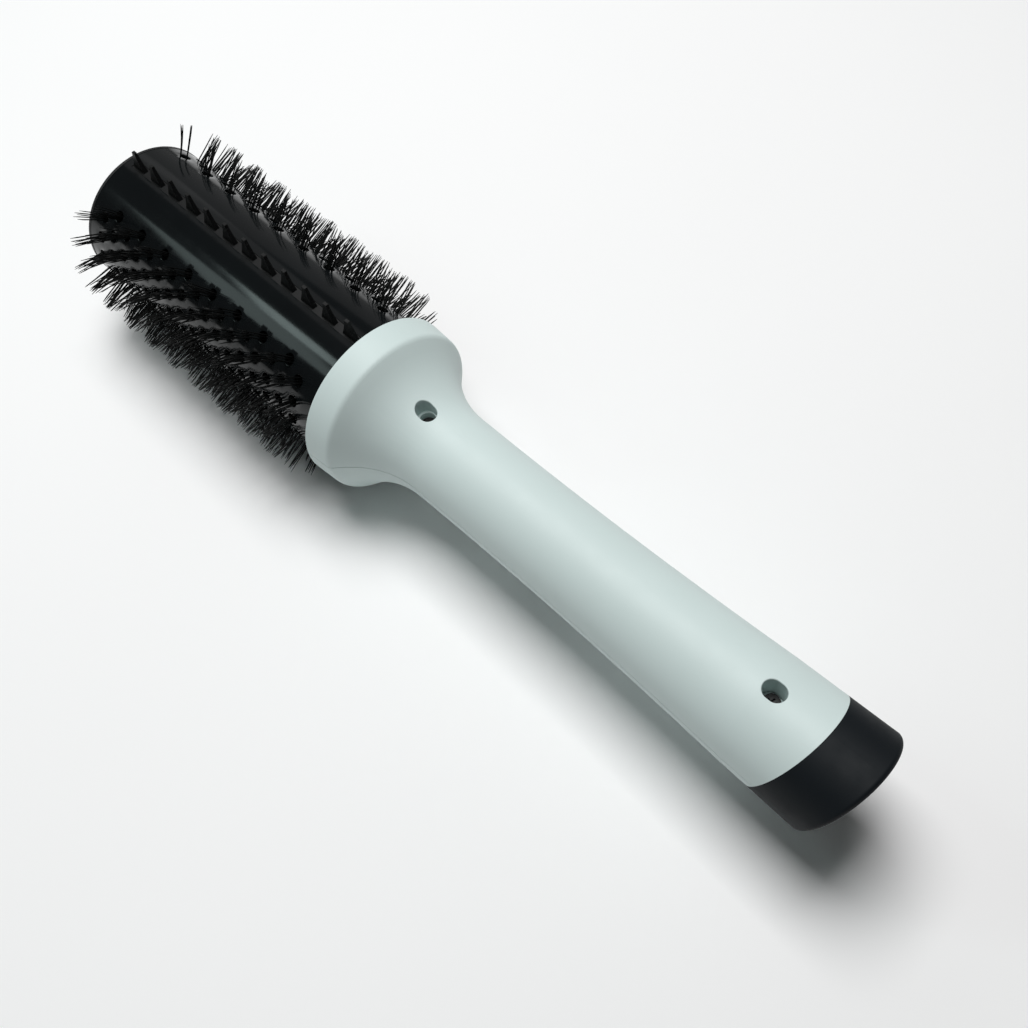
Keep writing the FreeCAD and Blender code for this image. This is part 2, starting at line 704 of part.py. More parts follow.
def tail_cap_solid():
    """The slanted tail cap: a cup with a spigot, a well for the gland and the air inlet's holes."""
    wall = size("cap_wall")
    length = size("cap_length")
    cup = handle_solid().common(slanted_space(0)).cut(slanted_space(length - 0.05))
    end_ring = [edge for edge in cup.Edges if on_slant(edge, 0.0)]
    cup = cup.makeFillet(size("cap_edge"), end_ring)
    cup = cup.cut(handle_solid(wall).common(slanted_space(wall)))
    fit = size("handle_wall") + 0.12
    spigot = handle_solid(fit).cut(handle_solid(fit + 1.4))
    spigot = spigot.common(slanted_space(length - 3.0)).cut(slanted_space(length + 3.6))
    post_notch = Part.makeBox(40, 11.0, 60, Vector(length - 8, -5.5, -30))
    spigot = spigot.cut(post_notch.common(slanted_space(length + 0.2)))
    boss = along(size("boss_radius"), -10, size("boss_end")).common(slanted_space(0))
    cap = cup.fuse([spigot, boss])
    cap = cap.cut(along(size("gland_bore"), -20, 20))
    cap = cap.cut(along(size("gland_well"), -20, size("gland_seat")))
    drills = ring_drills(INLET_RINGS, 1.0, -20, 8).cut(slanted_space(wall + 0.6))
    return cap.cut(drills).removeSplitter()


def on_slant(edge, offset):
    """Whether the whole edge lies on the slanted plane that crosses the axis at offset."""
    slope = math.tan(math.radians(size("tail_slant")))
    flat = all(abs(p.x + slope * p.z - offset) < 0.01 for p in points_on(edge))
    return flat and edge.BoundBox.YLength > 20


def inlet_screen_solid():
    """A thin perforated screen behind the tail face, with room for the gland boss."""
    depth = size("cap_wall") + 0.7
    disc = along(14.4, -20, 40).common(slanted_space(depth)).cut(slanted_space(depth + 0.5))
    disc = disc.cut(along(size("boss_radius") + 0.15, -20, 40))
    return disc.cut(ring_drills(SCREEN_RINGS, 0.45, -20, 40))


def make_barrel():
    """The perforated barrel sheet with its tip cap."""
    length = "barrel_end - barrel_root"
    sheet_tube = cut(
        "barrel_sheet",
        rod("barrel_outside", "barrel_radius", "barrel_root", length),
        rod("barrel_inside", "barrel_radius - barrel_wall", "barrel_root - 1", length + " + 2"),
    )
    slotted = cut("barrel_slotted", sheet_tube, feature("comb_slot_tool", comb_slots()))
    keep("barrel_tube", cut("barrel_pierced", slotted, feature("tuft_hole_tool", tuft_holes())))
    spigot = "barrel_radius - barrel_wall - 0.15"
    rim = "barrel_end + tip_flange"
    keep("tip_cap", turned("tip_cap_body", [
        ("barrel_end - 2.6", spigot),
        ("barrel_end + 0.05", spigot),
        ("barrel_end + 0.05", "barrel_radius + 0.1"),
        (rim, "barrel_radius + 0.1"),
        (rim + " + 0.9", "barrel_radius - 1.0"),
        (rim + " + 0.45 * tip_height", "barrel_radius - 5.8"),
        (rim + " + 0.8 * tip_height", "barrel_radius - 11.5"),
        (rim + " + tip_height", "barrel_radius - 18.0"),
        (rim + " + tip_height", "0"),
        (rim + " + tip_height - tip_wall", "0"),
        (rim + " + 0.8 * tip_height - tip_wall", "barrel_radius - 12.4"),
        (rim + " + 0.45 * tip_height - tip_wall", "barrel_radius - 6.9"),
        (rim + " - 0.4", "barrel_radius - 3.4"),
        ("barrel_end - 2.6", "barrel_radius - 3.4"),
    ]))


def make_bristles():
    """Tuft strips, their carrier tube and the two comb strips."""
    for name, side in SIDES.items():
        strips = [tuft_strip(angle, row_places(i, side)) for i, angle in enumerate(row_angles(side))]
        keep("bristle_strips_" + name, feature("strips_" + name, Part.makeCompound(strips)))
    keep("comb_strip_back", feature("comb_back", comb_strip(0)))
    keep("comb_strip_front", feature("comb_front", comb_strip(180)))
    start = "barrel_root + 2"
    length = "barrel_end - barrel_root - 2.2"
    tube = cut(
        "carrier_tube",
        rod("carrier_outside", "carrier_outer", start, length),
        rod("carrier_inside", "carrier_inner", start + " - 1", length + " + 2"),
    )
    keep("bristle_carrier", cut("carrier_slotted", tube, feature("carrier_slot_tool", carrier_slots())))


def make_socket():
    """The heat-resistant funnel that joins handle and barrel."""
    root = "barrel_root"
    mouth = root + " - funnel_length"
    bend = mouth + " + funnel_cone"
    seat = root + " - 0.1"
    inside_barrel = "barrel_radius - barrel_wall - 0.1"
    keep("barrel_socket", turned("barrel_socket_body", [
        (mouth, "funnel_mouth"),
        (mouth, "funnel_mouth + funnel_wall"),
        (bend, "funnel_throat + funnel_wall"),
        (root + " - 4.4", "socket_body"),
        (seat + " - socket_flange", "socket_body"),
        (seat + " - socket_flange", "socket_bore - 0.2"),
        (seat, "socket_bore - 0.2"),
        (seat, inside_barrel),
        (root + " + socket_reach", inside_barrel),
        (root + " + socket_reach", "carrier_outer + 0.1"),
        (root + " + 1.9", "carrier_outer + 0.1"),
        (root + " + 1.9", "carrier_inner - 0.6"),
        (root + " - 4.8", "carrier_inner - 0.6"),
        (bend, "funnel_throat"),
    ]))


def make_heater():
    """The heater inside the barrel's root: mica cross, wire, sleeve, thermostat and fuse."""
    plate = "mica_length"
    upright = cut(
        "mica_upright",
        block("mica_upright_sheet", "mica_start", plate, "mica_thick", "-mica_half", "2 * mica_half"),
        block("mica_upright_slot", "mica_start + mica_length / 2", plate, "mica_thick + 2",
              "-mica_thick / 2 - 0.05", "mica_thick + 0.1"),
    )
    level = cut(
        "mica_level",
        block("mica_level_sheet", "mica_start", plate, "2 * mica_half", "-mica_thick / 2", "mica_thick"),
        block("mica_level_slot", "mica_start - mica_length / 2 + 0.05", plate, "mica_thick + 0.1",
              "-mica_thick", "2 * mica_thick"),
    )
    keep("mica_frame", group("mica_cross", [upright, level]))
    keep("heater_coil", feature("heater_wire", heater_coil()))
    keep("mica_sleeve", cut(
        "mica_wrap",
        rod("mica_wrap_outside", "coil_radius + wrap_gap + mica_thick", "mica_start - 4", "wrap_length"),
        rod("mica_wrap_inside", "coil_radius + wrap_gap", "mica_start - 5", "wrap_length + 2"),
    ))
    plate_top = "mica_thick / 2 + 0.05"
    keep("thermostat", fuse("thermostat_body", [
        block("thermostat_base", "mica_start + 46.5", "13", "6", plate_top, "1.2", "6"),
        post("thermostat_disc", "2.6", "mica_start + 52", plate_top + " + 1", "1.6", "6"),
    ]))
    keep("thermal_fuse", rod("thermal_fuse_body", "fuse_radius", "mica_start + 47", "10", "-6",
                             "mica_thick / 2 + fuse_radius + 0.1"))


def make_handle():
    """The two handle shells, their screws and the tail cap with its screen and gland."""
    back, front = shell_pair()
    keep("shell_back", feature("shell_back_form", back))
    keep("shell_front", feature("shell_front_form", front))
    screws = [screw_solid(size("screw_front")), screw_solid(size("screw_rear"))]
    keep("shell_screws", feature("screw_set", Part.makeCompound(screws)))
    keep("tail_cap", feature("tail_cap_form", tail_cap_solid()))
    keep("inlet_screen", feature("inlet_screen_form", inlet_screen_solid()))
    keep("cord_gland", turned("cord_gland_body", [
        ("-gland_out", "cord_bore"),
        ("-gland_out", "gland_collar - 1.2"),
        ("-gland_out + 1", "gland_collar"),
        ("gland_seat - 0.3", "gland_collar"),
        ("gland_seat - 0.3", "gland_neck"),
        ("gland_in - 2.2", "gland_neck"),
        ("gland_in - 2.2", "gland_neck - 0.7"),
        ("gland_in - 1.0", "gland_neck - 0.7"),
        ("gland_in - 1.0", "gland_neck"),
        ("gland_in", "gland_neck"),
        ("gland_in", "cord_bore"),
    ]))
    keep("gland_circlip", turned("gland_circlip_body", [
        ("gland_in - 2.1", "gland_neck - 0.65"),
        ("gland_in - 2.1", "gland_neck + 2.0"),
        ("gland_in - 1.1", "gland_neck + 2.0"),
        ("gland_in - 1.1", "gland_neck - 0.65"),
    ]))


def make_fan():
    """Motor holder, motor, shaft and impeller."""
    inside = "holder_outer - holder_wall"
    outer_ring = cut(
        "holder_ring",
        rod("holder_ring_outside", "holder_outer", "fan_start - 2", "holder_length"),
        rod("holder_ring_inside", inside, "fan_start - 3", "holder_length + 2"),
    )
    inner_ring = cut(
        "holder_inner_ring",
        rod("holder_seat_outside", "motor_radius + 0.9", "motor_start", "holder_seat"),
        rod("holder_seat_inside", "motor_radius + 0.05", "motor_start - 1", "holder_seat + 2"),
    )
    vanes = []
    for i in range(VANES):
        vane = block("holder_vane_%d" % i, "motor_start", "holder_seat", "1.0", "motor_radius + 0.5",
                     inside + " - motor_radius - 0.2")
        turned_vane = feature("holder_vane_place_%d" % i, Part.Shape())
        doc.recompute()
        turned_vane.Shape = turn_x(vane.Shape, i * 360.0 / VANES)
        vanes.append(turned_vane)
    keep("motor_holder", fuse("holder_whole", [outer_ring, inner_ring] + vanes))
    can_end = "motor_start + motor_length"
    keep("motor_can", turned("motor_can_body", [
        ("motor_start", "motor_shaft_radius + 0.4"),
        ("motor_start", "motor_radius"),
        (can_end, "motor_radius"),
        (can_end, "motor_radius - motor_wall"),
        ("motor_start + motor_wall", "motor_radius - motor_wall"),
        ("motor_start + motor_wall", "motor_shaft_radius + 0.4"),
    ]))
    end_cap = cut(
        "motor_end_disc",
        rod("motor_end_outside", "motor_radius - motor_wall - 0.05", can_end + " - 2.0", "2.6"),
        rod("motor_end_hole", "motor_shaft_radius + 0.4", can_end + " - 3", "5"),
    )
    terminals = [
        block("motor_terminal_%s" % name, can_end + " - 0.2", "3.2", "2.0", "-0.25", "0.5", y)
        for name, y in (("one", "6.5"), ("two", "-6.5"))
    ]
    keep("motor_end_cap", fuse("motor_end_whole", [end_cap] + terminals))
    ring = cut(
        "magnet_ring",
        rod("magnet_outside", "motor_radius - motor_wall - 0.05", "motor_start + 3", "magnet_length"),
        rod("magnet_inside", "magnet_bore", "motor_start + 2", "magnet_length + 2"),
    )
    gap = block("magnet_gap", "motor_start + 2", "magnet_length + 2", "5", "-12", "24")
    keep("motor_magnets", cut("magnet_pair", ring, gap))
    rotor = cut(
        "rotor_core",
        rod("rotor_outside", "rotor_radius", "motor_start + 4", "rotor_length"),
        rod("rotor_hole", "motor_shaft_radius + 0.02", "motor_start + 3", "rotor_length + 3"),
    )
    slots = []
    ring = "(rotor_radius - 0.6)"
    for i in range(ROTOR_SLOTS):
        turn = i * 360.0 / ROTOR_SLOTS
        slots.append(rod("rotor_slot_%d" % i, "rotor_slot", "motor_start + 3", "rotor_length + 3",
                         "%s * cos(%g deg)" % (ring, turn), "%s * sin(%g deg)" % (ring, turn)))
    keep("motor_rotor", cut("rotor_slotted", rotor, fuse("rotor_slots", slots)))
    keep("motor_shaft", rod("motor_spindle", "motor_shaft_radius", "fan_start + 0.5",
                            can_end + " - fan_start + 1"))
    keep("impeller", feature("impeller_form", impeller_solid()))


def make_electrics():
    """Rectifier, control board, switches and the internal leads."""
    disc_start = "motor_start + motor_length + disc_gap"
    keep("rectifier_board", rod("rectifier_disc", "disc_radius", disc_start, "disc_thick"))
    diodes = [
        rod("diode_%d" % i, "diode_radius", disc_start + " + disc_thick + 0.1", "diode_length", y, z)
        for i, (y, z) in enumerate(DIODE_PLACES)
    ]
    keep("diodes", group("diode_set", diodes))
    under = "board_top - board_thick"
    keep("control_board", block("control_board_sheet", "board_start", "board_length", "board_width",
                                under, "board_thick"))
    terminal_middle = "board_start + 3 + terminal_length / 2"
    keep("terminal_block", cut(
        "terminal_block_body",
        block("terminal_block_base", "board_start + 3", "terminal_length", "terminal_width",
              "board_top + 0.05", "terminal_height"),
        fuse("terminal_wells", [
            post("terminal_well_" + name, "terminal_well", terminal_middle, "board_top + 2",
                 "terminal_height", y)
            for name, y in (("one", "terminal_width / 4"), ("two", "-terminal_width / 4"))
        ]),
    ))
    well = "5.0 + 2 * knob_travel + 1.2"
    keep("switch_body", cut(
        "switch_housing",
        block("switch_case", "knob_place - switch_length / 2", "switch_length", "switch_width",
              under + " - switch_height - 0.05", "switch_height"),
        block("switch_well", "knob_place - (%s) / 2" % well, well, "3.2", under + " - 4", "2.6"),
    ))
    stem_top = "board_top - board_thick - 1.9"
    keep("slide_knob", fuse("knob_whole", [
        block("knob_pad", "knob_place - knob_length / 2", "knob_length", "knob_width",
              "-recess_floor - 2.3", "2.0"),
        block("knob_stem", "knob_place - stem_length / 2", "stem_length", "stem_width", "-recess_floor - 1",
              stem_top + " + recess_floor + 1"),
    ] + [
        block("knob_rib_%d" % i, "knob_place - 4.9 + %d * rib_pitch" % i, "rib_width", "knob_width - 1.6",
              "-recess_floor - 2.9", "1.0")
        for i in range(KNOB_RIBS)
    ]))
    keep("cool_button", fuse("button_whole", [
        post("button_stem", "button_radius", "button_place", "-button_top", "button_top - 10.6"),
        post("button_flange", "button_radius + 1.1", "button_place", "-flange_low", "flange_thick"),
    ]))
    keep("cool_switch", cut(
        "cool_switch_housing",
        block("cool_switch_case", "button_place - 3", "6", "6", under + " - 2.4", "2.35"),
        post("cool_switch_well", "2.0", "button_place", under + " - 3", "2.2"),
    ))
    plunger_low = "-flange_low + flange_thick + 0.02"
    keep("cool_switch_plunger", post("plunger_body", "plunger_radius", "button_place", plunger_low,
                                     "%s - 2.0 - (%s)" % (under, plunger_low)))
    wire = size("lead_radius")
    board = size("board_top") + 0.1
    end_x = size("motor_start") + size("motor_length") + size("disc_gap") + size("disc_thick") + 0.2
    motor_leads = [
        bent_wire([Vector(size("board_start") + 1.5, y, board), Vector(size("board_start") + 1.5, y, -1.5),
                   Vector(end_x, y, -1.5)], [1.8], wire)
        for y in (3.5, -3.5)
    ]
    keep("motor_leads", feature("motor_lead_pair", Part.makeCompound(motor_leads)))
    lead_x = size("board_start") + size("board_length") - 4
    mica = size("mica_start") - 0.3
    heater_leads = [
        bent_wire([Vector(lead_x, y, board), Vector(lead_x, y, 1.5), Vector(mica, 1.4 * y, 1.5)], [4.0], wire)
        for y in (6.0, -6.0)
    ]
    keep("heater_leads", feature("heater_lead_pair", Part.makeCompound(heater_leads)))


make_barrel()
make_bristles()
make_socket()
make_heater()
make_handle()
make_fan()
make_electrics()
doc.recompute()

for thing in doc.Objects:
    if "Invalid" in thing.State or "Error" in thing.State:
        raise RuntimeError("%s failed: %s" % (thing.Name, thing.State))
for label, thing in nodes.items():
    if thing.Shape.isNull() or not thing.Shape.isValid() or not thing.Shape.Solids:
        raise RuntimeError("%s has no valid solid" % label)

os.makedirs("parts", exist_ok=True)
for label, thing in nodes.items():
    thing.Shape.exportStep("parts/%s.step" % label)
    print("%-22s %3d solids %10.1f mm3" % (label, len(thing.Shape.Solids), thing.Shape.Volume))
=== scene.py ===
import math
import random

import bpy
from mathutils import Matrix, Vector
from mathutils.geometry import delaunay_2d_cdt


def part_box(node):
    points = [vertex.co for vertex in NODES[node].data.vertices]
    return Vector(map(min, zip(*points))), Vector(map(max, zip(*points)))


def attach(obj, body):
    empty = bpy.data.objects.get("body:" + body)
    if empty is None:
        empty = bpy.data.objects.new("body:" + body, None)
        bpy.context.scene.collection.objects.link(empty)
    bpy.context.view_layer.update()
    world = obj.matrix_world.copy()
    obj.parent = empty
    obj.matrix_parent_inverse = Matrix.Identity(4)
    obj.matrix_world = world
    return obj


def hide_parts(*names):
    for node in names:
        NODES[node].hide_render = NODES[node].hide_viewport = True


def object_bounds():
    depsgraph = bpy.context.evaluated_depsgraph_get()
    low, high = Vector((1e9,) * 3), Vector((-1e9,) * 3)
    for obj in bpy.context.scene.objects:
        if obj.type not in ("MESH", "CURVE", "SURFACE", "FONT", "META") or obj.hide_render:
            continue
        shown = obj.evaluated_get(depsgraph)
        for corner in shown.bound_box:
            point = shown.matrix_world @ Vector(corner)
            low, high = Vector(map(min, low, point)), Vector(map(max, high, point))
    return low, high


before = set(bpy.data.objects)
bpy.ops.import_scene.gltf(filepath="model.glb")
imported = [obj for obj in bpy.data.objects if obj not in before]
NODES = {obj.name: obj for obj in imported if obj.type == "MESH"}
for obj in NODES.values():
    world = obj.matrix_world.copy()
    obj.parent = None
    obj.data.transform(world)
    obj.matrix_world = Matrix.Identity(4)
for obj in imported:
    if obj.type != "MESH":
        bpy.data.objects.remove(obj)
cad_low, cad_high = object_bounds()

# The brush lies along X, tail at the origin, tip at +X. Its back, with the two screws, faces +Z.
# Lengths are in millimetres up to the moment a mesh is made; the lamps are placed in metres.
MM = 0.001
TAU = 2 * math.pi


# ---------------------------------------------------------------- numbers shared with the CAD

BARREL_R = 25.0
BARREL_WALL = 0.8
BARREL_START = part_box("barrel_tube")[0].x / MM
BARREL_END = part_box("barrel_tube")[1].x / MM
HOLE_R = 1.9
TUFT_PITCH = 12.87
TUFT_FIRST = 286.7
TUFT_ROWS = 13
BLOCK_START = 40.0
BLOCK_SPAN = 100.0
STRIP_TOP = 23.2
STRIP_LOW = 21.6
STRIP_HALF = 1.1
STRIP_START = 186.0
STRIP_END = 296.4
TUFT_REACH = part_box("bristle_strips_left")[1].y / MM
COMB_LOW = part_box("comb_strip_back")[0]
COMB_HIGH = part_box("comb_strip_back")[1]
COMB_WIDTH = 3.0
COMB_GAP = 0.1
SIDES = {"left": 1, "right": -1}


def row_angles(side):
    """Angles of one side's tuft rows from +Z towards +Y, in degrees."""
    step = BLOCK_SPAN / (TUFT_ROWS - 1)
    return [side * (BLOCK_START + i * step) for i in range(TUFT_ROWS)]


def row_places(index, side):
    """Where a row's tufts stand: eight and nine by turns, eight first on the left."""
    if (index % 2 == 0) == (side > 0):
        return [TUFT_FIRST - i * TUFT_PITCH for i in range(8)]
    return [TUFT_FIRST + TUFT_PITCH / 2 - i * TUFT_PITCH for i in range(9)]


def all_tufts():
    """(x, angle) of every tuft."""
    for side in SIDES.values():
        for index, angle in enumerate(row_angles(side)):
            for x in row_places(index, side):
                yield x, angle


# ---------------------------------------------------------------- materials

MOTTLE_SCALE = 38.0
SMEAR_SCALE = 120.0
SCUFF_SCALE = 240.0
SCUFF_STRETCH = (0.35, 1.0, 1.0)
SCUFF_DEPTH = 0.55
SCUFF_RANGE = (0.60, 0.78)
GRAIN_STRENGTH = 0.6
SWELL_TIMES = 6
SWELL_STRENGTH = 0.25
COAT_ROUGHNESS = 0.2
# The Mix node has sockets for every kind of value; these are the colour ones.
MIX_FIRST = 6
MIX_SECOND = 7
MIX_RESULT = 2


def shader_tree(name):
    """A new material with its shader and the helpers' coordinates."""
    material = bpy.data.materials.new(name)
    material.use_nodes = True
    tree = material.node_tree
    shader = tree.nodes["Principled BSDF"]
    coordinates = tree.nodes.new("ShaderNodeTexCoord")
    return material, tree, shader, coordinates.outputs["Object"]


def noise(tree, vector, scale, detail=3.0, roughness=0.55, stretch=None):
    """A noise texture's factor, stretched where asked."""
    if stretch is not None:
        mapping = tree.nodes.new("ShaderNodeMapping")
        mapping.inputs["Scale"].default_value = stretch
        tree.links.new(vector, mapping.inputs["Vector"])
        vector = mapping.outputs["Vector"]
    node = tree.nodes.new("ShaderNodeTexNoise")
    node.inputs["Scale"].default_value = scale
    node.inputs["Detail"].default_value = detail
    node.inputs["Roughness"].default_value = roughness
    tree.links.new(vector, node.inputs["Vector"])
    return node.outputs["Fac"]


def ranged(tree, factor, low, high, start=0.3, end=0.7):
    """A factor moved to the range low..high."""
    node = tree.nodes.new("ShaderNodeMapRange")
    node.inputs["From Min"].default_value = start
    node.inputs["From Max"].default_value = end
    node.inputs["To Min"].default_value = low
    node.inputs["To Max"].default_value = high
    tree.links.new(factor, node.inputs["Value"])
    return node.outputs["Result"]


def mixed(tree, factor, first, second):
    """Two colours mixed by a factor; either may be a socket."""
    node = tree.nodes.new("ShaderNodeMix")
    node.data_type = "RGBA"
    tree.links.new(factor, node.inputs["Factor"])
    for index, value in ((MIX_FIRST, first), (MIX_SECOND, second)):
        if isinstance(value, tuple):
            node.inputs[index].default_value = (*value, 1.0)
        else:
            tree.links.new(value, node.inputs[index])
    return node.outputs[MIX_RESULT]


def bumped(tree, shader, heights):
    """Bump from (factor, distance in metres, strength) layers, one over the other."""
    normal = None
    for factor, distance, strength in heights:
        node = tree.nodes.new("ShaderNodeBump")
        node.inputs["Distance"].default_value = distance
        node.inputs["Strength"].default_value = strength
        tree.links.new(factor, node.inputs["Height"])
        if normal is not None:
            tree.links.new(normal, node.inputs["Normal"])
        normal = node.outputs["Normal"]
    tree.links.new(normal, shader.inputs["Normal"])


def moulded(name, colour, shade, roughness, grain=0.00002, grain_scale=2600.0, metallic=0.0,
            specular=0.5, coat=0.0, wear=None, stretch=None):
    """A plastic, rubber or coated surface with fine grain, faint mottling and uneven gloss."""
    material, tree, shader, place = shader_tree(name)
    broad = noise(tree, place, MOTTLE_SCALE, 4.0)
    fine = noise(tree, place, grain_scale, 2.0, 0.6, stretch)
    base = mixed(tree, ranged(tree, broad, 0.0, 1.0), colour, shade)
    if wear is not None:
        scuffs = noise(tree, place, SCUFF_SCALE, 6.0, 0.7, SCUFF_STRETCH)
        base = mixed(tree, ranged(tree, scuffs, 0.0, SCUFF_DEPTH, *SCUFF_RANGE), base, wear)
    tree.links.new(base, shader.inputs["Base Color"])
    smear = noise(tree, place, SMEAR_SCALE, 5.0, 0.6)
    low, high = roughness
    tree.links.new(ranged(tree, smear, low, high), shader.inputs["Roughness"])
    shader.inputs["Metallic"].default_value = metallic
    shader.inputs["Specular IOR Level"].default_value = specular
    shader.inputs["Coat Weight"].default_value = coat
    shader.inputs["Coat Roughness"].default_value = COAT_ROUGHNESS
    bumped(tree, shader, [(fine, grain, GRAIN_STRENGTH),
                          (broad, grain * SWELL_TIMES, SWELL_STRENGTH)])
    return material


# Slot name: its two mottled colours, its range of roughness, and what differs from plain plastic.
FINISHES = {
    "handle_white": ((0.635, 0.735, 0.722), (0.622, 0.722, 0.708), (0.46, 0.56),
                     {"grain": 0.000012, "specular": 0.35, "wear": (0.605, 0.70, 0.685)}),
    "cap_black": ((0.0014, 0.0036, 0.0058), (0.0020, 0.0046, 0.0068), (0.6, 0.7),
                  {"grain": 0.00003, "specular": 0.235, "wear": (0.005, 0.0073, 0.0095)}),
    "barrel_black": ((0.0035, 0.0045, 0.005), (0.0045, 0.0058, 0.0065), (0.11, 0.14),
                     {"grain": 0.000006, "grain_scale": 1400.0, "specular": 0.3,
                      "wear": (0.007, 0.008, 0.009)}),
    "tip_plastic": ((0.005, 0.005, 0.0055), (0.008, 0.008, 0.0085), (0.42, 0.55), {}),
    "bristle_nylon": ((0.0025, 0.003, 0.003), (0.004, 0.0045, 0.0045), (0.38, 0.52),
                      {"grain": 0.000004, "specular": 0.2}),
    "comb_plastic": ((0.003, 0.0034, 0.0036), (0.0045, 0.005, 0.0053), (0.42, 0.52),
                     {"specular": 0.22}),
    "carrier_plastic": ((0.016, 0.016, 0.016), (0.022, 0.022, 0.022), (0.5, 0.6), {}),
    "socket_plastic": ((0.03, 0.03, 0.03), (0.04, 0.04, 0.04), (0.45, 0.6), {}),
    "mica": ((0.62, 0.50, 0.30), (0.48, 0.38, 0.22), (0.3, 0.55), {"stretch": (0.2, 1, 1)}),
    "heater_wire": ((0.42, 0.40, 0.38), (0.30, 0.27, 0.25), (0.3, 0.5), {"metallic": 1.0}),
    "plated_steel": ((0.62, 0.62, 0.60), (0.5, 0.5, 0.48), (0.22, 0.4), {"metallic": 1.0}),
    "screw_steel": ((0.008, 0.008, 0.008), (0.014, 0.014, 0.014), (0.4, 0.55), {"metallic": 0.3}),
    "screen_steel": ((0.28, 0.28, 0.28), (0.2, 0.2, 0.2), (0.35, 0.5), {"metallic": 1.0}),
    "gland_black": ((0.016, 0.016, 0.016), (0.024, 0.024, 0.024), (0.55, 0.7), {"grain": 0.00004}),
    "inner_plastic": ((0.62, 0.62, 0.59), (0.56, 0.56, 0.53), (0.4, 0.55), {}),
    "motor_steel": ((0.5, 0.5, 0.5), (0.4, 0.4, 0.4), (0.25, 0.42),
                    {"metallic": 1.0, "stretch": (1, 0.1, 0.1)}),
    "magnet": ((0.03, 0.03, 0.03), (0.05, 0.05, 0.05), (0.5, 0.7), {}),
    "fan_plastic": ((0.05, 0.05, 0.05), (0.07, 0.07, 0.07), (0.4, 0.55), {}),
    "board_green": ((0.02, 0.12, 0.05), (0.03, 0.16, 0.07), (0.25, 0.4), {"coat": 0.3}),
    "part_black": ((0.02, 0.02, 0.02), (0.03, 0.03, 0.03), (0.4, 0.55), {}),
    "knob_black": ((0.018, 0.018, 0.020), (0.026, 0.026, 0.028), (0.45, 0.6), {"grain": 0.00003}),
    "button_grey": ((0.32, 0.36, 0.36), (0.28, 0.32, 0.32), (0.35, 0.5), {}),
    "lead_red": ((0.35, 0.02, 0.015), (0.28, 0.015, 0.01), (0.4, 0.55), {}),
    "lead_white": ((0.62, 0.62, 0.58), (0.5, 0.5, 0.46), (0.5, 0.7), {}),
}
MATERIALS = {
    name: moulded(name, colour, shade, roughness, **extra)
    for name, (colour, shade, roughness, extra) in FINISHES.items()
}


def finished(piece, slot_name):
    """Give a piece the material of a slot and name the slot."""
    piece.data.materials.clear()
    piece.data.materials.append(MATERIALS[slot_name])


# ---------------------------------------------------------------- mesh helpers

def new_piece(name, slot_name, points, faces, replaced, sharp=None):
    """A smooth mesh in millimetres that rides on the brush and stands for a CAD node."""
    mesh = bpy.data.meshes.new(name)
    mesh.from_pydata([(x * MM, y * MM, z * MM) for x, y, z in points], [], faces)
    mesh.update()
    piece = bpy.data.objects.new(name, mesh)
    bpy.context.scene.collection.objects.link(piece)
    for polygon in mesh.polygons:
        polygon.use_smooth = True
    if sharp is not None:
        mesh.set_sharp_from_angle(angle=math.radians(sharp))
    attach(piece, "brush")
    finished(piece, slot_name)
    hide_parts(replaced)


def turned(along, across, height, angle):
    """A point across a row's middle plane at a height from the axis, turned to the row's angle."""
    turn = math.radians(angle)
    return (along, height * math.sin(turn) + across * math.cos(turn),
            height * math.cos(turn) - across * math.sin(turn))


# ---------------------------------------------------------------- barrel

RIM_POINTS = 20
RIM_CHAMFER = 0.22
RIM_ROUND = 0.06
SLOT_STEPS = 24
SKIN_STEPS = 44
SKIN_TURN_STEPS = 180
SKIN_SPARE_STEPS = 6
SKIN_OVERLAP = 4.0
HOLE_CLEAR = 0.35
SLOT_CLEAR = 0.3
HOLE_INSIDE = 0.97
SEAM_CLOSE = 0.01
MERGE_CLOSE = 1e-5
BARREL_CREASE = 30.0


